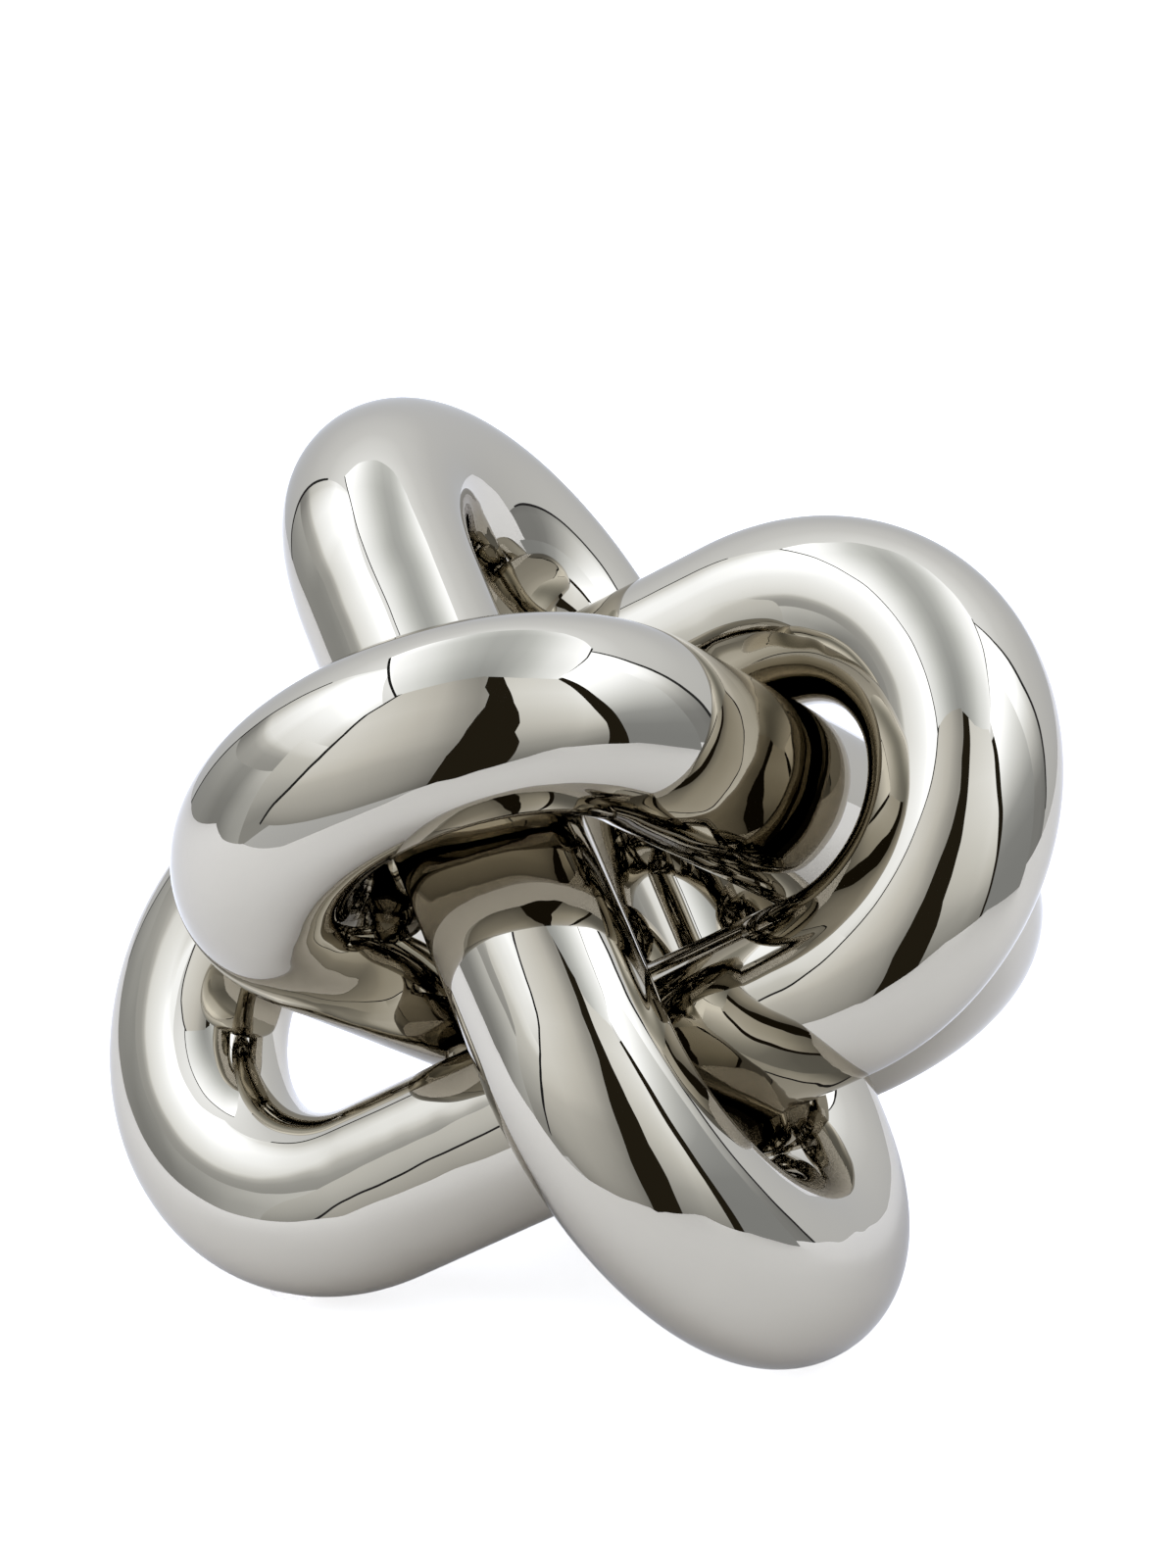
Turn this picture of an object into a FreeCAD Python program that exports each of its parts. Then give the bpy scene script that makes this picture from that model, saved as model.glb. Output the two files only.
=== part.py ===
import FreeCAD, Part
import math
import os

# Knot sculpture of three equal stadium-shaped links of round solid bar. Each link's two legs pass through
# the loop of the next link, and the links touch at six crossings. Lengths in millimetres, Z up, the floor
# at Z = 0 and the origin under the middle of the bounding box.

# Bar and links
BAR_DIAMETER = 38.0
LEG_LENGTH = 109.8
LOOP_PLAY = 4.6
CONTACT_GAP = 0.3
LINK_SLIDE = 8.9

# Seam between the two halves of a link, measured from the middle of the link towards its foot
SEAM_DROP = 16.0

# Pins hidden inside the legs at the seams
PIN_DIAMETER = 12.0
PIN_LENGTH = 36.0
PIN_CHAMFER = 1.0
PIN_PLAY = 0.05
PIN_END_PLAY = 1.0

# Weld nuggets that hold the links together where they touch
WELD_DIAMETER = 10.0
WELD_DEPTH = 1.5

# Soft pads under the three feet
PAD_DIAMETER = 12.0
PAD_HEIGHT = 1.2
PAD_RIM = 2.5

# Directions of the links' long axes, in degrees: azimuth from +X towards +Y, then rise above the floor
BACK_AZIMUTH = 110.8
BACK_RISE = 38.4
LEFT_AZIMUTH = -129.8
LEFT_RISE = 33.9
RIGHT_AZIMUTH = -19.3
RIGHT_RISE = 27.7

# Values that follow from the sizes above
BAR_RADIUS = BAR_DIAMETER / 2
TOUCH_SPACING = BAR_DIAMETER + CONTACT_GAP
HALF_WIDTH = TOUCH_SPACING + LOOP_PLAY / 2
HALF_LEG = LEG_LENGTH / 2
TOUCH_SHARE = TOUCH_SPACING / HALF_WIDTH

UP = FreeCAD.Vector(0, 0, 1)
EAST = FreeCAD.Vector(1, 0, 0)
NORTH = FreeCAD.Vector(0, 1, 0)
HALF_TURN = 180


def direction(azimuth, rise):
    """Unit vector at an azimuth and a rise in degrees."""
    a = math.radians(azimuth)
    b = math.radians(rise)
    return FreeCAD.Vector(math.cos(a) * math.cos(b), math.sin(a) * math.cos(b), math.sin(b))


def unit(v):
    """Copy of a vector with length one."""
    return v * (1 / v.Length)


def across_axis(axis, normal, share):
    """Upward unit vector square to an axis, whose part along the normal is the given share."""
    level = unit(UP.cross(axis))
    steep = axis.cross(level)
    phase = math.atan2(normal.dot(steep), normal.dot(level))
    swing = math.acos(share / math.hypot(normal.dot(level), normal.dot(steep)))
    turns = (phase + swing, phase - swing)
    options = [level * math.cos(t) + steep * math.sin(t) for t in turns]
    return max(options, key=lambda v: v.z)


def meet_planes(n1, d1, n2, d2, n3, d3):
    """Point on three planes, each given by a normal and its distance from the origin."""
    total = n2.cross(n3) * d1 + n3.cross(n1) * d2 + n1.cross(n2) * d3
    return total * (1 / n1.dot(n2.cross(n3)))


def reach(axis, across, way):
    """Distance from a link's middle to its outside along a direction."""
    along = axis.dot(way)
    return HALF_LEG * abs(along) + HALF_WIDTH * math.hypot(along, across.dot(way)) + BAR_RADIUS


def arrange_links():
    """Axis, across direction and middle of each link, so that all touch and all stand on the floor."""
    back = direction(BACK_AZIMUTH, BACK_RISE)
    left = direction(LEFT_AZIMUTH, LEFT_RISE)
    right = direction(RIGHT_AZIMUTH, RIGHT_RISE)
    back_left = unit(back.cross(left))
    left_right = unit(left.cross(right))
    right_back = unit(right.cross(back))
    back_across = unit(left - back * left.dot(back))
    right_across = across_axis(right, right_back, TOUCH_SHARE - right_back.dot(back_across))
    left_across = across_axis(left, left_right, left_right.dot(right_across) - TOUCH_SHARE)
    back_drop = reach(back, back_across, UP)
    left_drop = reach(left, left_across, UP)
    right_drop = reach(right, right_across, UP)
    lean = HALF_WIDTH * back_left.dot(left_across) - TOUCH_SPACING
    right_step = meet_planes(right_back, 0, UP, right_drop - back_drop, right, -LINK_SLIDE)
    left_step = meet_planes(
        back_left, lean, UP, left_drop - back_drop, left_right, left_right.dot(right_step)
    )
    base = UP * (PAD_HEIGHT + back_drop)
    links = {
        "back": (back, back_across, base),
        "left": (left, left_across, base + left_step),
        "right": (right, right_across, base + right_step),
    }
    shift = FreeCAD.Vector(0, 0, 0)
    for way in (EAST, NORTH):
        high = max(m.dot(way) + reach(a, c, way) for a, c, m in links.values())
        low = min(m.dot(way) - reach(a, c, way) for a, c, m in links.values())
        shift -= way * ((high + low) / 2)
    return {name: (a, c, m + shift) for name, (a, c, m) in links.items()}


def placement(link):
    """Placement that lays local X along the link and local Y across it."""
    axis, across, middle = link
    return FreeCAD.Placement(middle, FreeCAD.Rotation(axis, across, axis.cross(across), "XYZ"))


def rod(radius, start, end, side):
    """Round rod along local X, from start to end, on one leg's axis."""
    foot = FreeCAD.Vector(start, side * HALF_WIDTH, 0)
    return Part.makeCylinder(radius, end - start, foot, EAST)


def half_link(start, end, turn):
    """Two legs between start and end with a half ring at the outer end, less the bores for the pins."""
    outer = HALF_LEG if turn < 0 else -HALF_LEG
    ring = Part.makeCircle(BAR_RADIUS, FreeCAD.Vector(outer, HALF_WIDTH, 0), EAST)
    face = Part.Face(Part.Wire(ring))
    bend = face.revolve(FreeCAD.Vector(outer, 0, 0), UP, turn)
    body = bend.fuse([rod(BAR_RADIUS, start, end, side) for side in (1, -1)]).removeSplitter()
    depth = PIN_LENGTH / 2 + PIN_END_PLAY
    bore = PIN_DIAMETER / 2 + PIN_PLAY
    holes = [rod(bore, -SEAM_DROP - depth, -SEAM_DROP + depth, side) for side in (1, -1)]
    return body.cut(holes)


def seam_pin(side):
    """Chamfered pin across the seam of one leg."""
    pin = rod(PIN_DIAMETER / 2, -SEAM_DROP - PIN_LENGTH / 2, -SEAM_DROP + PIN_LENGTH / 2, side)
    rims = [edge for edge in pin.Edges if edge.Closed and len(edge.Vertexes) == 1]
    return pin.makeChamfer(PIN_CHAMFER, rims)


def nearest_points(link_one, side_one, link_two, side_two):
    """Points where the axes of two crossing legs come nearest to each other."""
    axis_one, across_one, middle_one = link_one
    axis_two, across_two, middle_two = link_two
    start_one = middle_one + across_one * (side_one * HALF_WIDTH)
    start_two = middle_two + across_two * (side_two * HALF_WIDTH)
    gap = start_two - start_one
    skew = axis_one.dot(axis_two)
    square = 1 - skew * skew
    along_one = (gap.dot(axis_one) - skew * gap.dot(axis_two)) / square
    along_two = (skew * gap.dot(axis_one) - gap.dot(axis_two)) / square
    return start_one + axis_one * along_one, start_two + axis_two * along_two


def weld_nugget(point_one, point_two):
    """Round nugget that reaches a little way into both legs where they touch."""
    span = point_two - point_one
    way = unit(span)
    inset = BAR_RADIUS - WELD_DEPTH
    return Part.makeCylinder(WELD_DIAMETER / 2, span.Length - 2 * inset, point_one + way * inset, way)


def foot_point(link):
    """Point on the floor under the lowest point of a link."""
    axis, across, middle = link
    low = axis * (-HALF_LEG) - (axis * axis.z + across * across.z) * (
        HALF_WIDTH / math.hypot(axis.z, across.z)
    )
    spot = middle + low
    return FreeCAD.Vector(spot.x, spot.y, 0)


def foot_pad(link, foot):
    """Round pad on the floor whose top is hollowed to the foot that stands on it."""
    blank = Part.makeCylinder(PAD_DIAMETER / 2, PAD_HEIGHT + PAD_RIM, foot_point(link), UP)
    return blank.cut(foot)


def build():
    """All solids of the sculpture by node name."""
    links = arrange_links()
    touching = (
        ("back", 1, "left", -1),
        ("back", -1, "left", -1),
        ("left", 1, "right", 1),
        ("left", -1, "right", -1),
        ("right", 1, "back", -1),
        ("right", -1, "back", 1),
    )
    nuggets = [weld_nugget(*nearest_points(links[a], i, links[b], j)) for a, i, b, j in touching]
    crown = half_link(-SEAM_DROP, HALF_LEG, -HALF_TURN)
    foot = half_link(-HALF_LEG, -SEAM_DROP, HALF_TURN)
    nodes = {}
    pins = []
    for name, link in links.items():
        place = placement(link)
        for half, shape in (("crown", crown), ("foot", foot)):
            placed = shape.copy()
            placed.Placement = place
            nodes[f"{name}_link_{half}"] = [placed.cut(nuggets)]
        nodes[f"{name}_foot_pad"] = [foot_pad(link, nodes[f"{name}_link_foot"][0])]
        for side in (1, -1):
            pin = seam_pin(side)
            pin.Placement = place
            pins.append(pin)
    nodes["seam_pins"] = pins
    nodes["weld_nuggets"] = nuggets
    return nodes


def export(nodes):
    """One STEP file for each node."""
    os.makedirs("parts", exist_ok=True)
    for name, shapes in nodes.items():
        solids = [solid for shape in shapes for solid in shape.Solids]
        whole = solids[0] if len(solids) == 1 else Part.makeCompound(solids)
        whole.exportStep(f"parts/{name}.step")
        box = whole.BoundBox
        print(name, len(solids), round(whole.Volume), whole.isValid(), box)


export(build())
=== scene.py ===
import math
from collections import namedtuple

import bpy
import numpy as np
from mathutils import Matrix, Vector


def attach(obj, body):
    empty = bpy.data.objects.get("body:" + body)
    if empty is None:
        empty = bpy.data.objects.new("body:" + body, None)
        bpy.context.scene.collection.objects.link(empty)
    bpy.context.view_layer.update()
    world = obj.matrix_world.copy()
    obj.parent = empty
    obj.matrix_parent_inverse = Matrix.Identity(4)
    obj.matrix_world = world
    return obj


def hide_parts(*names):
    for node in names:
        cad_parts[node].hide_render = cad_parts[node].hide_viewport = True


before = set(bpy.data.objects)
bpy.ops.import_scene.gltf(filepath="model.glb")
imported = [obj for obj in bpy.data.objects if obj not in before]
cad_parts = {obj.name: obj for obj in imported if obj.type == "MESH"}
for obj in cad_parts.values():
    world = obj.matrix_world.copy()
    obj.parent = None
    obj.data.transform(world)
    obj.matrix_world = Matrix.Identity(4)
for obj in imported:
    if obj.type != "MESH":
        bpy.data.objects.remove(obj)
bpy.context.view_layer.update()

# Mirror-polished knot of three equal stadium-shaped links. Lengths in metres, angles in degrees.
MM = 0.001

# The same sizes as the solids
BAR_RADIUS = 19.0 * MM
HALF_LEG = 54.9 * MM
LOOP_PLAY = 4.6 * MM
CONTACT_GAP = 0.3 * MM
LINK_SLIDE = 8.9 * MM
SEAM_DROP = 16.0 * MM
PAD_HEIGHT = 1.2 * MM
TOUCH_SPACING = 2 * BAR_RADIUS + CONTACT_GAP
HALF_WIDTH = TOUCH_SPACING + LOOP_PLAY / 2
TOUCH_SHARE = TOUCH_SPACING / HALF_WIDTH
LEG = 2 * HALF_LEG
BEND = math.pi * HALF_WIDTH
LINK_DIRECTIONS = {"back": (110.8, 38.4), "left": (-129.8, 33.9), "right": (-19.3, 27.7)}

# Mesh of a link's skin: rings along the loop, points round the bar, flat faces at the ends of a half, and how
# far the skin lies inside the solid
RINGS = 384
RING_POINTS = 96
RING_ANGLES = np.arange(RING_POINTS) / RING_POINTS * 2 * math.pi
END_FACES = 2
SKIN_SINK = 0.02 * MM

# Unevenness left by hand polishing: depth, and for each group of waves the most turns along the loop, the
# number of waves and their share
WAVE_DEPTH = 0.035 * MM
WAVE_GROUPS = ((9, 6, 1.0), (21, 8, 0.3))
MOST_TURNS_ROUND = 3
FIRST_SEED = 11

# The polish on the back link's foot leans: (mm along the loop from the foot end of its front leg, degrees)
FOOT_LEAN = [
    (-45, 0.0), (-30, 1.5), (-18, 4.5), (-5, 6.6), (15, 6.1), (45, 4.0), (80, 2.0), (127, 2.0), (150, 0.0),
]

# Noise patterns of the finishes: how fine, how many layers of detail and how rough
CLOUD = {"scale": 22.0, "detail": 2.0}
HAZE = {"scale": 60.0, "detail": 4.0, "rough": 0.6}
RIPPLE = {"scale": 62.0, "detail": 1.0, "rough": 0.4}
BRUSHING = {"scale": 1.0, "detail": 4.0, "rough": 0.6}
GRAIN = {"scale": 1400.0, "detail": 3.0}
FIBRE = {"scale": 40.0, "detail": 4.0}

# Polished nickel
NICKEL_COLOURS = ((0.44, 0.405, 0.337), (0.46, 0.425, 0.353))
NICKEL_RIM_COLOUR = (0.76, 0.75, 0.74, 1.0)
NICKEL_IOR = 2.0
NICKEL_ROUGHNESS = (0.004, 0.02)
HAZE_RANGE = (0.35, 0.75)
RIPPLE_DEPTH = 0.22 * MM
RIPPLE_STRENGTH = 1.0

# Brushed steel of the pins
STEEL_COLOURS = ((0.42, 0.42, 0.43), (0.60, 0.60, 0.60))
STEEL_ROUGHNESS = (0.28, 0.46)
BRUSHING_STRETCH = (900.0, 900.0, 60.0)
BRUSHING_DEPTH = 0.05 * MM
BRUSHING_STRENGTH = 0.4

# Clear silicone of the pads
SILICONE_COLOURS = ((0.90, 0.90, 0.90), (0.96, 0.96, 0.96))
SILICONE_ROUGHNESS = (0.12, 0.25)
SILICONE_CLEARNESS = 0.9
SILICONE_IOR = 1.41
GRAIN_DEPTH = 0.05 * MM
GRAIN_STRENGTH = 0.5

# Camera
CAMERA_PLACE = (5.94 * MM, -902.92 * MM, 429.12 * MM)
CAMERA_AZIMUTH = -0.018
CAMERA_DIP = 19.735
CAMERA_ROLL = -4.28
FOCAL_PIXELS = 4850.44
PICTURE_HEIGHT = 1600
SENSOR_WIDTH = 36.0

# Floor and air of the studio
FLOOR_REACH = 4.0
FLOOR_STEP = 0.2 * MM
FLOOR_COLOURS = ((0.915, 0.91, 0.94), (0.94, 0.935, 0.96))
FLOOR_GLOW = 0.06
FLOOR_GLOW_SEEN = 0.7
AIR_COLOUR = (0.7, 0.7, 0.7, 1.0)
WHITE = (1.0, 1.0, 1.0, 1.0)

# Light of the studio: cards shine in a tint of their own where they are dim, and in one shared, bluer tint,
# which the warm metal shows as neutral, where they are bright
STUDIO_LEVEL = 1.53
ROOM_TINT = (0.936, 1.0, 1.13)
DARK_TINT = (1.19, 1.0, 0.64)
HIGHLIGHT_TINT = (0.922, 1.0, 1.165)
HIGHLIGHT_STRENGTHS = (0.75, 1.45)
CARD_TINTS = {
    "front": (0.965, 1.0, 1.05), "bright": (0.955, 1.0, 1.06), "ceiling": (0.915, 1.0, 1.12),
    "left_low": (0.94, 1.0, 1.09), "left_front": (0.95, 1.0, 1.07), "left_wall": (0.945, 1.0, 1.085),
    "right_wall": (0.935, 1.0, 1.11), "right_post": (0.925, 1.0, 1.12), "slot": DARK_TINT, "gap": DARK_TINT,
}

# Places of the studio's cards round its middle: azimuth from -Y towards +X, tilt, and distance in mm. Cards
# that overlap lie a step apart.
STUDIO_MIDDLE = Vector((0.0, 0.0, 80.0 * MM))
TOP = "top"
FRONT_AZIMUTH, FRONT_TILT, FRONT_DISTANCE = 0, 20, 350
GAP_AZIMUTH, GAP_DISTANCE = 50, 1300
RIGHT_AZIMUTH, RIGHT_DISTANCE = 88, 1200
POST_AZIMUTH, POST_DISTANCE = 90, 300
LEFT_AZIMUTH, LEFT_DISTANCE = -100, 1200
TOP_DISTANCE = 440
CARD_STEP = 1
WALL_STEP = 10

# Outlines of the front cards on their plane, (u, v) in mm: u to the right as seen from the front, v upward
SLOT_LEFT = [
    (60, 330), (48, 225), (58, 165), (52, 100), (37, 50), (26, 0), (19, -60), (6, -130), (4, -210), (2, -420),
]
SLOT_RIGHT = [
    (103, 310), (102, 225), (107, 150), (110, 100), (118, 50), (123, -10), (119, -60), (137, -130),
    (144, -215), (155, -420),
]
FRONT_LEFT = [
    (-161, 345), (-205, 270), (-232, 235), (-262, 150), (-315, 60), (-372, 0), (-455, -70), (-600, -170),
    (-900, -420),
]
FRONT_TOP = [(-161, 345), (-125, 416), (-82, 480), (-40, 490), (0, 440), (43, 363), (56, 330)]
BRIGHT_TOP = [(105, 310), (145, 290), (206, 280), (262, 285)]
FRONT_RIGHT = [
    (262, 285), (283, 220), (300, 160), (322, 100), (350, 40), (385, -20), (420, -80), (470, -200),
    (560, -420),
]

# Cards: corners (u, v) in mm on the card's plane, then (v, strength) and (u, strength), which multiply
Card = namedtuple("Card", "facing tilt distance corners along_v along_u", defaults=[()])
CARDS = {
    "slot": Card(
        FRONT_AZIMUTH, FRONT_TILT, FRONT_DISTANCE - CARD_STEP,
        corners=SLOT_LEFT + SLOT_RIGHT[::-1],
        along_v=[(0, 0.016)],
    ),
    "front": Card(
        FRONT_AZIMUTH, FRONT_TILT, FRONT_DISTANCE,
        corners=FRONT_LEFT[::-1] + FRONT_TOP + SLOT_LEFT,
        along_v=[(-400, 0.3), (-250, 0.45), (-150, 0.53), (-75, 0.62), (-25, 0.76), (30, 0.85), (160, 0.94),
                 (350, 0.85), (450, 0.7)],
        along_u=[(-400, 1.1), (-215, 1.06), (-150, 0.98), (-90, 0.88), (-40, 0.75), (0, 0.56), (40, 0.41),
                 (60, 0.44)],
    ),
    "bright": Card(
        FRONT_AZIMUTH, FRONT_TILT, FRONT_DISTANCE + CARD_STEP,
        corners=SLOT_RIGHT[::-1] + BRIGHT_TOP + FRONT_RIGHT,
        along_v=[(-400, 0.2), (-250, 0.33), (-150, 0.5), (-75, 0.72), (-25, 0.85), (30, 0.96), (90, 1.08),
                 (160, 1.15), (290, 1.05)],
        along_u=[(100, 0.85), (250, 1.0), (300, 1.08)],
    ),
    "gap": Card(
        GAP_AZIMUTH, 0, GAP_DISTANCE,
        corners=[(-700, -700), (-700, 1400), (300, 1400), (300, -700)],
        along_v=[(0, 0.015)],
    ),
    "right_wall": Card(
        RIGHT_AZIMUTH, 0, RIGHT_DISTANCE,
        corners=[(-638, -600), (-600, 200), (-560, 700), (-560, 2600), (700, 2600), (430, 1400), (340, 700),
                 (320, 0), (320, -600)],
        along_v=[(-43, 0.28), (86, 0.31), (217, 0.44), (353, 0.64), (497, 0.92), (654, 1.26), (830, 1.65),
                 (1032, 2.0)],
        along_u=[(-640, 0.95), (150, 1.0), (330, 0.85)],
    ),
    "right_post": Card(
        POST_AZIMUTH, 0, POST_DISTANCE,
        corners=[(-240, -160), (-236, 120), (-232, 440), (-60, 440), (-60, -160)],
        along_v=[(-20, 0.30), (30, 0.32), (90, 0.45), (160, 0.9), (250, 1.45), (350, 1.95)],
    ),
    "left_low": Card(
        LEFT_AZIMUTH, 0, LEFT_DISTANCE,
        corners=[(-920, -600), (-905, 380), (2500, 380), (2500, -600)],
        along_v=[(-300, 0.85), (-150, 0.9), (0, 0.95), (100, 1.0), (200, 1.12), (300, 1.25), (380, 1.33)],
        along_u=[(-920, 0.40), (-640, 0.40), (-350, 0.385), (-200, 0.35), (-50, 0.30), (150, 0.30),
                 (400, 0.50), (700, 0.62)],
    ),
    "left_wall": Card(
        LEFT_AZIMUTH, 0, LEFT_DISTANCE + CARD_STEP,
        corners=[(-905, 378), (-890, 1300), (-700, 2700), (2500, 2700), (2500, 378)],
        along_v=[(380, 0.47), (460, 0.49), (540, 0.54), (620, 0.74), (660, 1.0), (700, 1.18), (800, 1.28),
                 (900, 1.36), (1100, 1.5), (1400, 1.75), (1702, 2.2)],
        along_u=[(-905, 0.62), (-740, 0.66), (-640, 0.78), (-500, 0.9), (-350, 1.0), (-50, 1.0), (84, 0.94),
                 (150, 0.90), (400, 0.88), (1007, 0.82), (1400, 0.65)],
    ),
    "left_front": Card(
        LEFT_AZIMUTH, 0, LEFT_DISTANCE - WALL_STEP,
        corners=[(600, -600), (580, 300), (600, 900), (2500, 900), (2500, -600)],
        along_v=[(-300, 0.34), (-150, 0.40), (0, 0.50), (100, 0.55), (200, 0.60), (300, 0.66), (380, 0.70),
                 (540, 0.76), (620, 0.82), (700, 0.98), (800, 1.08), (900, 1.17)],
    ),
    "ceiling": Card(
        TOP, 0, TOP_DISTANCE,
        corners=[(-185, 225), (-175, -230), (-150, -520), (310, -520), (305, -230), (295, -20), (275, 85),
                 (230, 150), (170, 215), (90, 250), (0, 260), (-100, 250)],
        along_v=[(-300, 0.66), (-150, 0.76), (0, 0.95), (150, 1.02), (250, 1.25)],
        along_u=[(-185, 2.05), (-168, 1.65), (-130, 1.48), (-90, 1.24), (-50, 0.97), (-10, 0.75), (30, 0.62),
                 (70, 0.64), (110, 0.79), (155, 1.06), (205, 1.42), (270, 1.78), (310, 2.1)],
    ),
}

# Dark edges where cards meet: middle line (u, v) and widths in mm, and one strength
Edge = namedtuple("Edge", "facing tilt distance line widths strength")
EDGES = {
    "edge_left_back": Edge(
        LEFT_AZIMUTH, 0, LEFT_DISTANCE - WALL_STEP,
        line=[(-925, -400), (-912, 300), (-895, 1300)], widths=[50, 60, 50], strength=0.03,
    ),
    "edge_left_top": Edge(
        TOP, 0, TOP_DISTANCE - CARD_STEP,
        line=[(-187, 225), (-180, 0), (-177, -230)], widths=[6, 7, 9], strength=0.02,
    ),
    "edge_front_left": Edge(
        FRONT_AZIMUTH, FRONT_TILT, FRONT_DISTANCE - 2 * CARD_STEP,
        line=FRONT_LEFT, widths=[14, 14, 14, 16, 19, 21, 24, 27, 30], strength=0.02,
    ),
    "edge_front_top": Edge(
        FRONT_AZIMUTH, FRONT_TILT, FRONT_DISTANCE - 3 * CARD_STEP,
        line=FRONT_TOP[:5], widths=[16, 13, 14, 9, 5], strength=0.02,
    ),
    "edge_right_back": Edge(
        RIGHT_AZIMUTH, 0, RIGHT_DISTANCE - WALL_STEP,
        line=[(700, 2600), (430, 1400), (340, 700), (320, 0), (320, -200)], widths=[30, 50, 60, 50, 36],
        strength=0.03,
    ),
    "edge_right_top": Edge(
        TOP, 0, TOP_DISTANCE - 2 * CARD_STEP,
        line=[(275, 85), (295, -20), (305, -230)], widths=[7, 7, 8], strength=0.05,
    ),
}

# Open room behind the cards: strength by elevation in degrees
DOME_REACH = 3.6
DOME_RINGS = 24
DOME_COLUMNS = 48
DOME_LEVELS = [
    (-90, 0.5), (-10, 0.65), (0, 0.68), (20, 0.74), (40, 0.88), (60, 1.16), (75, 1.3), (90, 1.1),
]

# Ragged outline of the paper that the object stands on, as the polished metal shows it, (x, y) in mm
SHEET = [
    (-900, 60), (-450, -80), (-300, -150), (-150, -165), (-100, -185), (-50, -215), (-25, -238),
    (0, -250), (15, -243), (40, -262), (60, -268), (100, -290), (150, -318), (200, -330), (230, -290),
    (270, -235), (340, -190), (400, -180), (395, -60), (430, 100), (480, 300), (600, 900), (-900, 900),
]


# Arrangement of the links

def direction(azimuth, rise):
    """Unit vector at an azimuth from +X towards +Y and a rise above the floor."""
    a, b = math.radians(azimuth), math.radians(rise)
    return Vector((math.cos(a) * math.cos(b), math.sin(a) * math.cos(b), math.sin(b)))


def across_axis(axis, normal, share):
    """Upward unit vector square to an axis, whose part along the normal is the given share."""
    level = Vector((0, 0, 1)).cross(axis).normalized()
    steep = axis.cross(level)
    phase = math.atan2(normal.dot(steep), normal.dot(level))
    swing = math.acos(share / math.hypot(normal.dot(level), normal.dot(steep)))
    options = [level * math.cos(t) + steep * math.sin(t) for t in (phase + swing, phase - swing)]
    return max(options, key=lambda v: v.z)


def meet_planes(n1, d1, n2, d2, n3, d3):
    """Point where three planes meet, each given by its normal and its distance along it."""
    total = n2.cross(n3) * d1 + n3.cross(n1) * d2 + n1.cross(n2) * d3
    return total / n1.dot(n2.cross(n3))


def reach(axis, across, way):
    """How far a link reaches from its middle in a direction."""
    along = axis.dot(way)
    return HALF_LEG * abs(along) + HALF_WIDTH * math.hypot(along, across.dot(way)) + BAR_RADIUS


def arrange_links():
    """Axis, across direction and middle of each link, as in the solids."""
    up = Vector((0, 0, 1))
    back, left, right = (direction(*way) for way in LINK_DIRECTIONS.values())
    back_left = back.cross(left).normalized()
    left_right = left.cross(right).normalized()
    right_back = right.cross(back).normalized()
    back_across = (left - back * left.dot(back)).normalized()
    right_across = across_axis(right, right_back, TOUCH_SHARE - right_back.dot(back_across))
    left_across = across_axis(left, left_right, left_right.dot(right_across) - TOUCH_SHARE)
    back_drop = reach(back, back_across, up)
    left_drop = reach(left, left_across, up)
    right_drop = reach(right, right_across, up)
    lean = HALF_WIDTH * back_left.dot(left_across) - TOUCH_SPACING
    right_step = meet_planes(right_back, 0, up, right_drop - back_drop, right, -LINK_SLIDE)
    left_step = meet_planes(
        back_left, lean, up, left_drop - back_drop, left_right, left_right.dot(right_step)
    )
    base = up * (PAD_HEIGHT + back_drop)
    links = {
        "back": (back, back_across, base),
        "left": (left, left_across, base + left_step),
        "right": (right, right_across, base + right_step),
    }
    shift = Vector((0, 0, 0))
    for way in (Vector((1, 0, 0)), Vector((0, 1, 0))):
        high = max(m.dot(way) + reach(a, c, way) for a, c, m in links.values())
        low = min(m.dot(way) - reach(a, c, way) for a, c, m in links.values())
        shift -= way * ((high + low) / 2)
    return {name: (a, c, m + shift) for name, (a, c, m) in links.items()}


# Skins of the links

def add_object(name, data):
    """A new object in the scene."""
    obj = bpy.data.objects.new(name, data)
    bpy.context.scene.collection.objects.link(obj)
    return obj


def loop_line(steps):
    """Places and outward directions along a link in its own plane, from the foot end of its + leg."""
    places, outwards = [], []
    for s in steps:
        if s < LEG:
            places.append((-HALF_LEG + s, HALF_WIDTH))
            outwards.append((0, 1))
        elif s < LEG + BEND:
            t = (s - LEG) / HALF_WIDTH
            outwards.append((math.sin(t), math.cos(t)))
            places.append((HALF_LEG + HALF_WIDTH * math.sin(t), HALF_WIDTH * math.cos(t)))
        elif s < 2 * LEG + BEND:
            places.append((HALF_LEG - (s - LEG - BEND), -HALF_WIDTH))
            outwards.append((0, -1))
        else:
            t = (s - 2 * LEG - BEND) / HALF_WIDTH
            outwards.append((-math.sin(t), -math.cos(t)))
            places.append((-HALF_LEG - HALF_WIDTH * math.sin(t), -HALF_WIDTH * math.cos(t)))
    return np.array(places), np.array(outwards)


def wave(along, seed):
    """Gentle hand-polished unevenness between 0 and 1, over a grid of rings and ring points."""
    rng = np.random.default_rng(seed)
    total = np.zeros((len(along), RING_POINTS))
    for turns, count, share in WAVE_GROUPS:
        for _ in range(count):
            m = rng.integers(turns // 2, turns + 1)
            k = rng.integers(0, MOST_TURNS_ROUND + 1)
            a, b = rng.uniform(0, 2 * math.pi, 2)
            total += share * np.outer(np.cos(m * along + a), np.cos(k * RING_ANGLES + b))
    return (total - total.min()) / (total.max() - total.min())


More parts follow.
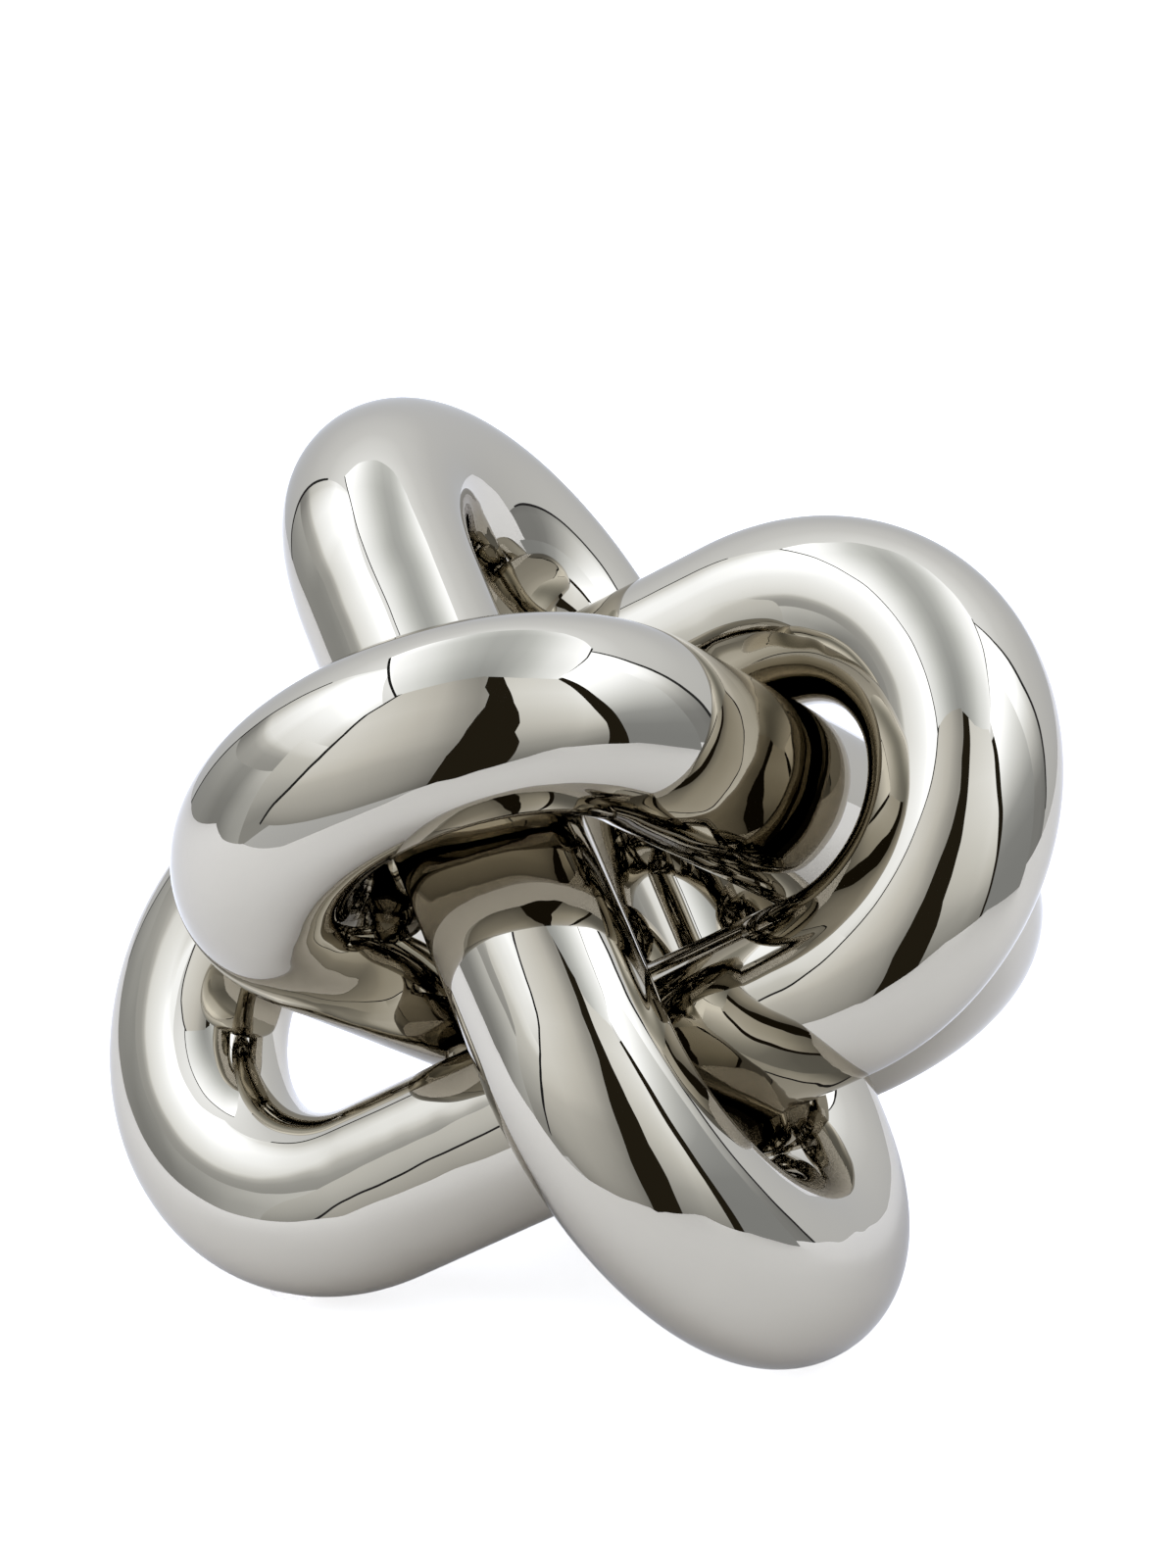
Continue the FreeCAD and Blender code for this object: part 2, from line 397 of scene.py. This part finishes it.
def lean_foot(normal, places):
    """Turns the surface directions about X along the foot of a link, as FOOT_LEAN says."""
    u, v = places[:, 0] + HALF_LEG, places[:, 1]
    on_leg = np.where(v > 0, -u, BEND + u)
    along = np.where(u > 0, on_leg, np.arctan2(-u, v) * HALF_WIDTH) / MM
    stops, turns = zip(*FOOT_LEAN)
    turn = np.radians(np.interp(along, stops, turns))[:, None]
    y, z = normal[:, :, 1].copy(), normal[:, :, 2].copy()
    normal[:, :, 1] = y * np.cos(turn) - z * np.sin(turn)
    normal[:, :, 2] = y * np.sin(turn) + z * np.cos(turn)
    return normal


def half_mesh(name, grid, normal):
    """Closed tube through the rings of a grid, with the given surface directions along it."""
    rows, points = grid.shape[:2]
    faces = []
    for i in range(rows - 1):
        for j in range(points):
            k = (j + 1) % points
            faces.append((i * points + j, i * points + k, (i + 1) * points + k, (i + 1) * points + j))
    faces.append(tuple(range(points)))
    faces.append(tuple((rows - 1) * points + j for j in reversed(range(points))))
    mesh = bpy.data.meshes.new(name)
    mesh.from_pydata([tuple(p) for p in grid.reshape(-1, 3)], [], faces)
    mesh.validate()
    smooth = np.ones(len(mesh.polygons), bool)
    smooth[-END_FACES:] = False
    mesh.polygons.foreach_set("use_smooth", smooth)
    outward = normal.reshape(-1, 3)
    first = mesh.polygons[0]
    if Vector(outward[first.vertices[0]]).dot(first.normal) < 0:
        mesh.flip_normals()
    corners = np.empty(len(mesh.loops), int)
    mesh.loops.foreach_get("vertex_index", corners)
    wanted = outward[corners]
    for end in list(mesh.polygons)[-END_FACES:]:
        for corner in end.loop_indices:
            wanted[corner] = end.normal
    mesh.normals_split_custom_set([tuple(w) for w in wanted])
    return add_object(name, mesh)


def link_skin(name, axis, across, middle, seed):
    """The crown and foot halves of one link as two closed meshes that meet at the seam."""
    length = 2 * (LEG + BEND)
    steps = np.arange(RINGS) / RINGS * length
    # one ring lies on each seam: the first on the + leg, the second on the - leg
    seams = [HALF_LEG - SEAM_DROP, LEG + BEND + HALF_LEG + SEAM_DROP]
    for seam in seams:
        steps[np.argmin(np.abs(steps - seam))] = seam
    first, last = (int(np.argmin(np.abs(steps - seam))) for seam in seams)
    places, outwards = loop_line(steps)
    u, v = np.array(axis), np.array(across)
    n = np.cross(u, v)
    line = np.outer(places[:, 0], u) + np.outer(places[:, 1], v) + np.array(middle)
    out = np.outer(outwards[:, 0], u) + np.outer(outwards[:, 1], v)
    radius = BAR_RADIUS - SKIN_SINK - WAVE_DEPTH * wave(steps / length * 2 * math.pi, seed)
    cos, sin = np.cos(RING_ANGLES)[None, :, None], np.sin(RING_ANGLES)[None, :, None]
    ring = out[:, None, :] * cos + n[None, None, :] * sin
    grid = line[:, None, :] + ring * radius[:, :, None]
    along = np.roll(grid, -1, 0) - np.roll(grid, 1, 0)
    around = np.roll(grid, -1, 1) - np.roll(grid, 1, 1)
    normal = np.cross(around, along)
    normal /= np.linalg.norm(normal, axis=2)[:, :, None]
    if (normal * ring).sum() < 0:
        normal = -normal
    if name == "back":
        normal = lean_foot(normal, places)
    rows = {
        "crown": [i % RINGS for i in range(first, last + 1)],
        "foot": [i % RINGS for i in range(last, first + RINGS + 1)],
    }
    return {half: half_mesh(f"{name}_{half}_skin", grid[r], normal[r]) for half, r in rows.items()}


# Nodes that the materials share

def new_material(name):
    """An empty material, its node tree and its output."""
    mat = bpy.data.materials.new(name)
    mat.use_nodes = True
    tree = mat.node_tree
    tree.nodes.clear()
    out = tree.nodes.new("ShaderNodeOutputMaterial")
    return mat, tree, out


def new_finish(name):
    """A material with one principled shader, and the coordinates of its object."""
    mat, tree, out = new_material(name)
    skin = tree.nodes.new("ShaderNodeBsdfPrincipled")
    tree.links.new(skin.outputs["BSDF"], out.inputs["Surface"])
    return mat, tree, skin, object_coords(tree)


def object_coords(tree):
    return tree.nodes.new("ShaderNodeTexCoord").outputs["Object"]


def noise(tree, coords, scale, detail, rough=0.5):
    """A noise pattern between 0 and 1."""
    node = tree.nodes.new("ShaderNodeTexNoise")
    node.inputs["Scale"].default_value = scale
    node.inputs["Detail"].default_value = detail
    node.inputs["Roughness"].default_value = rough
    tree.links.new(coords, node.inputs["Vector"])
    return node.outputs["Fac"]


def spread(tree, value, low, high, from_low=0.0, from_high=1.0):
    """A value brought from one range to another, without leaving it."""
    node = tree.nodes.new("ShaderNodeMapRange")
    node.inputs["From Min"].default_value = from_low
    node.inputs["From Max"].default_value = from_high
    node.inputs["To Min"].default_value = low
    node.inputs["To Max"].default_value = high
    tree.links.new(value, node.inputs["Value"])
    return node.outputs["Result"]


def mix(tree, value, a, b):
    """A colour between two, from a at 0 to b at 1."""
    node = tree.nodes.new("ShaderNodeMix")
    node.data_type = "RGBA"
    node.inputs["A"].default_value = a + (1.0,)
    node.inputs["B"].default_value = b + (1.0,)
    tree.links.new(value, node.inputs["Factor"])
    return node.outputs["Result"]


def combine(tree, operation, values):
    """One value from several, two at a time."""
    total = values[0]
    for value in values[1:]:
        node = tree.nodes.new("ShaderNodeMath")
        node.operation = operation
        tree.links.new(total, node.inputs[0])
        tree.links.new(value, node.inputs[1])
        total = node.outputs["Value"]
    return total


def bump(tree, height, distance, strength):
    """Surface directions raised by a pattern."""
    node = tree.nodes.new("ShaderNodeBump")
    node.inputs["Distance"].default_value = distance
    node.inputs["Strength"].default_value = strength
    tree.links.new(height, node.inputs["Height"])
    return node.outputs["Normal"]


# Finishes of the pieces

def polished_nickel():
    """Mirror with soft clouds of colour, faint haze and a slow ripple."""
    mat, tree, skin, coords = new_finish("polished_nickel")
    skin.inputs["Metallic"].default_value = 1.0
    skin.inputs["IOR"].default_value = NICKEL_IOR
    skin.inputs["Specular Tint"].default_value = NICKEL_RIM_COLOUR
    cloud = noise(tree, coords, **CLOUD)
    tree.links.new(mix(tree, cloud, *NICKEL_COLOURS), skin.inputs["Base Color"])
    haze = noise(tree, coords, **HAZE)
    tree.links.new(spread(tree, haze, *NICKEL_ROUGHNESS, *HAZE_RANGE), skin.inputs["Roughness"])
    ripple = noise(tree, coords, **RIPPLE)
    tree.links.new(bump(tree, ripple, RIPPLE_DEPTH, RIPPLE_STRENGTH), skin.inputs["Normal"])
    return mat


def brushed_steel():
    """Ground bar with fine grain along Z."""
    mat, tree, skin, coords = new_finish("pin_steel_brushed")
    stretch = tree.nodes.new("ShaderNodeMapping")
    stretch.inputs["Scale"].default_value = BRUSHING_STRETCH
    tree.links.new(coords, stretch.inputs["Vector"])
    grain = noise(tree, stretch.outputs["Vector"], **BRUSHING)
    skin.inputs["Metallic"].default_value = 1.0
    tree.links.new(mix(tree, grain, *STEEL_COLOURS), skin.inputs["Base Color"])
    tree.links.new(spread(tree, grain, *STEEL_ROUGHNESS), skin.inputs["Roughness"])
    tree.links.new(bump(tree, grain, BRUSHING_DEPTH, BRUSHING_STRENGTH), skin.inputs["Normal"])
    return mat


def clear_silicone():
    """Soft clear pad with a fine dull grain."""
    mat, tree, skin, coords = new_finish("pad_silicone")
    grain = noise(tree, coords, **GRAIN)
    skin.inputs["Transmission Weight"].default_value = SILICONE_CLEARNESS
    skin.inputs["IOR"].default_value = SILICONE_IOR
    tree.links.new(mix(tree, grain, *SILICONE_COLOURS), skin.inputs["Base Color"])
    tree.links.new(spread(tree, grain, *SILICONE_ROUGHNESS), skin.inputs["Roughness"])
    tree.links.new(bump(tree, grain, GRAIN_DEPTH, GRAIN_STRENGTH), skin.inputs["Normal"])
    return mat


# Light of the studio

def ramp_value(tree, value, stops, unit):
    """Strength along a coordinate, from (place, strength) stops."""
    node = tree.nodes.new("ShaderNodeValToRGB")
    low, high = stops[0][0], stops[-1][0]
    top = max(s for _, s in stops)
    elements = node.color_ramp.elements
    while len(elements) < len(stops):
        elements.new(0.5)
    for element, (at, strength) in zip(elements, stops):
        element.position = (at - low) / (high - low)
        element.color = (strength / top,) * 3 + (1.0,)
    tree.links.new(spread(tree, value, 0.0, 1.0, low * unit, high * unit), node.inputs["Fac"])
    scale = tree.nodes.new("ShaderNodeMath")
    scale.operation = "MULTIPLY"
    scale.inputs[1].default_value = top
    tree.links.new(node.outputs["Color"], scale.inputs[0])
    return scale.outputs["Value"]


def studio_glow(tree, tint, strength):
    """Emission at the studio's level, in its own tint where dim and the highlight tint where bright."""
    glow = tree.nodes.new("ShaderNodeEmission")
    dim, bright = (tuple(STUDIO_LEVEL * t for t in kind) for kind in (tint, HIGHLIGHT_TINT))
    share = spread(tree, strength, 0.0, 1.0, *HIGHLIGHT_STRENGTHS)
    tree.links.new(mix(tree, share, dim, bright), glow.inputs["Color"])
    tree.links.new(strength, glow.inputs["Strength"])
    return glow.outputs["Emission"]


def world_position(tree):
    return tree.nodes.new("ShaderNodeNewGeometry").outputs["Position"]


def card_material(name, card, side, up):
    """Glow of a card, shaded along its two directions where it has stops for them."""
    mat, tree, out = new_material("card " + name)
    place = tree.nodes.new("ShaderNodeVectorMath")
    place.operation = "SUBTRACT"
    place.inputs[1].default_value = STUDIO_MIDDLE
    tree.links.new(world_position(tree), place.inputs[0])
    factors = []
    for way, stops in ((up, card.along_v), (side, card.along_u)):
        if len(stops) < 2:
            continue
        dot = tree.nodes.new("ShaderNodeVectorMath")
        dot.operation = "DOT_PRODUCT"
        dot.inputs[1].default_value = way
        tree.links.new(place.outputs["Vector"], dot.inputs[0])
        factors.append(ramp_value(tree, dot.outputs["Value"], stops, MM))
    if not factors:
        even = tree.nodes.new("ShaderNodeValue")
        even.outputs["Value"].default_value = card.along_v[0][1]
        factors.append(even.outputs["Value"])
    glow = studio_glow(tree, CARD_TINTS.get(name, ROOM_TINT), combine(tree, "MULTIPLY", factors))
    tree.links.new(glow, out.inputs["Surface"])
    return mat


def room_material():
    """Glow of the open room, shaded by height."""
    mat, tree, out = new_material("studio_room")
    split = tree.nodes.new("ShaderNodeSeparateXYZ")
    tree.links.new(world_position(tree), split.inputs["Vector"])
    stops = [(STUDIO_MIDDLE.z + DOME_REACH * math.sin(math.radians(e)), level) for e, level in DOME_LEVELS]
    glow = studio_glow(tree, ROOM_TINT, ramp_value(tree, split.outputs["Z"], stops, 1.0))
    tree.links.new(glow, out.inputs["Surface"])
    return mat


def floor_material():
    """Pale paper that takes shadows, with a stronger glow where the camera or clear pads see it."""
    mat, tree, out = new_material("pale_floor")
    paper = tree.nodes.new("ShaderNodeBsdfDiffuse")
    fibre = noise(tree, object_coords(tree), **FIBRE)
    tree.links.new(mix(tree, fibre, *FLOOR_COLOURS), paper.inputs["Color"])
    rays = tree.nodes.new("ShaderNodeLightPath")
    seen = combine(tree, "MAXIMUM", [rays.outputs["Is Camera Ray"], rays.outputs["Is Transmission Ray"]])
    level = tree.nodes.new("ShaderNodeMix")
    level.inputs["A"].default_value = FLOOR_GLOW
    level.inputs["B"].default_value = FLOOR_GLOW_SEEN
    tree.links.new(seen, level.inputs["Factor"])
    glow = tree.nodes.new("ShaderNodeEmission")
    tree.links.new(level.outputs["Result"], glow.inputs["Strength"])
    both = tree.nodes.new("ShaderNodeAddShader")
    tree.links.new(paper.outputs["BSDF"], both.inputs[0])
    tree.links.new(glow.outputs["Emission"], both.inputs[1])
    tree.links.new(both.outputs["Shader"], out.inputs["Surface"])
    return mat


def make_world():
    """White for camera, mirror and see-through rays that leave the room, plain grey light otherwise."""
    world = bpy.data.worlds.new("studio_air")
    bpy.context.scene.world = world
    world.use_nodes = True
    tree = world.node_tree
    tree.nodes.clear()
    out = tree.nodes.new("ShaderNodeOutputWorld")
    white = tree.nodes.new("ShaderNodeBackground")
    white.inputs["Color"].default_value = WHITE
    air = tree.nodes.new("ShaderNodeBackground")
    air.inputs["Color"].default_value = AIR_COLOUR
    rays = tree.nodes.new("ShaderNodeLightPath")
    kinds = ("Is Camera Ray", "Is Glossy Ray", "Is Transmission Ray")
    pick = tree.nodes.new("ShaderNodeMixShader")
    tree.links.new(combine(tree, "MAXIMUM", [rays.outputs[kind] for kind in kinds]), pick.inputs["Fac"])
    tree.links.new(air.outputs["Background"], pick.inputs[1])
    tree.links.new(white.outputs["Background"], pick.inputs[2])
    tree.links.new(pick.outputs["Shader"], out.inputs["Surface"])


# Pieces of the studio

def add_stage(name, points, faces, material):
    """A piece of the studio, which is no part of the knot."""
    mesh = bpy.data.meshes.new(name)
    mesh.from_pydata(points, [], faces)
    mesh.materials.append(material)
    piece = add_object(name, mesh)
    return piece


def hide_from_camera(piece):
    """Leaves a piece of the studio to the metal's reflections, with no shadow of its own."""
    piece.visible_camera = False
    piece.visible_shadow = False


def plane_ways(facing, tilt):
    """Normal, sideways and upward directions of a card's plane."""
    if facing == TOP:
        return Vector((0, 0, 1)), Vector((1, 0, 0)), Vector((0, 1, 0))
    a, e = math.radians(facing), math.radians(tilt)
    normal = Vector((math.sin(a) * math.cos(e), -math.cos(a) * math.cos(e), math.sin(e)))
    side = Vector((math.cos(a), math.sin(a), 0))
    up = Vector((-math.sin(a) * math.sin(e), math.cos(a) * math.sin(e), math.cos(e)))
    return normal, side, up


def add_card(name, card):
    """A flat glowing card on its plane."""
    normal, side, up = plane_ways(card.facing, card.tilt)
    points = [STUDIO_MIDDLE + (normal * card.distance + side * u + up * v) * MM for u, v in card.corners]
    face = tuple(range(len(points)))
    hide_from_camera(add_stage(name, points, [face], card_material(name, card, side, up)))


def strip(line, widths):
    """Corners of a band along a line."""
    left, right = [], []
    for i, (x, y) in enumerate(line):
        x1, y1 = line[min(i + 1, len(line) - 1)]
        x0, y0 = line[max(i - 1, 0)]
        size = math.hypot(x1 - x0, y1 - y0)
        sx, sy = -(y1 - y0) / size * widths[i] / 2, (x1 - x0) / size * widths[i] / 2
        left.append((x + sx, y + sy))
        right.append((x - sx, y - sy))
    return left + right[::-1]


def add_edge(name, edge):
    """A dark band along the edge of a card."""
    corners = strip(edge.line, edge.widths)
    add_card(name, Card(edge.facing, edge.tilt, edge.distance, corners, along_v=[(0, edge.strength)]))


def add_room():
    """Grey room round everything, which the camera looks past."""
    points, faces = [], []
    for i in range(DOME_RINGS + 1):
        e = math.pi * (i / DOME_RINGS - 0.5)
        for j in range(DOME_COLUMNS):
            a = 2 * math.pi * j / DOME_COLUMNS
            ray = Vector((math.cos(a) * math.cos(e), math.sin(a) * math.cos(e), math.sin(e)))
            points.append(STUDIO_MIDDLE + ray * DOME_REACH)
    for i in range(DOME_RINGS):
        for j in range(DOME_COLUMNS):
            k = (j + 1) % DOME_COLUMNS
            low, high = i * DOME_COLUMNS, (i + 1) * DOME_COLUMNS
            faces.append((low + j, low + k, high + k, high + j))
    hide_from_camera(add_stage("studio_room", points, faces, room_material()))


def add_floor(material):
    """The sheet that the object stands on, and below it a wide floor that mirrors don't see."""
    face = tuple(range(len(SHEET)))
    add_stage("floor_sheet", [(x * MM, y * MM, 0) for x, y in SHEET], [face], material)
    r, z = FLOOR_REACH, -FLOOR_STEP
    corners = [(-r, -r, z), (r, -r, z), (r, r, z), (-r, r, z)]
    add_stage("wide_floor", corners, [(0, 1, 2, 3)], material).visible_glossy = False


def add_camera():
    """The photograph's camera, as found from the outlines of the links."""
    a, e = math.radians(CAMERA_AZIMUTH), math.radians(CAMERA_DIP)
    ahead = Vector((math.sin(a) * math.cos(e), math.cos(a) * math.cos(e), -math.sin(e)))
    level = ahead.cross(Vector((0, 0, 1))).normalized()
    upright = level.cross(ahead)
    roll = math.radians(CAMERA_ROLL)
    right = level * math.cos(roll) + upright * math.sin(roll)
    up = right.cross(ahead)
    data = bpy.data.cameras.new("camera")
    data.sensor_width = SENSOR_WIDTH
    data.lens = FOCAL_PIXELS / PICTURE_HEIGHT * SENSOR_WIDTH
    camera = add_object("camera", data)
    rows = Matrix((right, up, -ahead)).transposed()
    camera.matrix_world = Matrix.Translation(Vector(CAMERA_PLACE)) @ rows.to_4x4()
    bpy.context.scene.camera = camera


# Everything put together

nickel = polished_nickel()
steel = brushed_steel()
silicone = clear_silicone()

for seed, (name, (axis, across, middle)) in enumerate(arrange_links().items(), FIRST_SEED):
    for half, skin in link_skin(name, axis, across, middle, seed).items():
        skin.data.materials.append(nickel)
        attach(skin, "root")
        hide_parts(f"{name}_link_{half}")

finishes = {"weld_nuggets": nickel, "seam_pins": steel}
finishes.update({f"{name}_foot_pad": silicone for name in LINK_DIRECTIONS})
for node, finish in finishes.items():
    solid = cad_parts[node]
    if not solid.material_slots:
        solid.data.materials.append(finish)
    for place in solid.material_slots:
        place.material = finish

add_floor(floor_material())
for name, card in CARDS.items():
    add_card(name, card)
for name, edge in EDGES.items():
    add_edge(name, edge)
add_room()
make_world()
add_camera()
bpy.context.scene.view_settings.view_transform = "Standard"
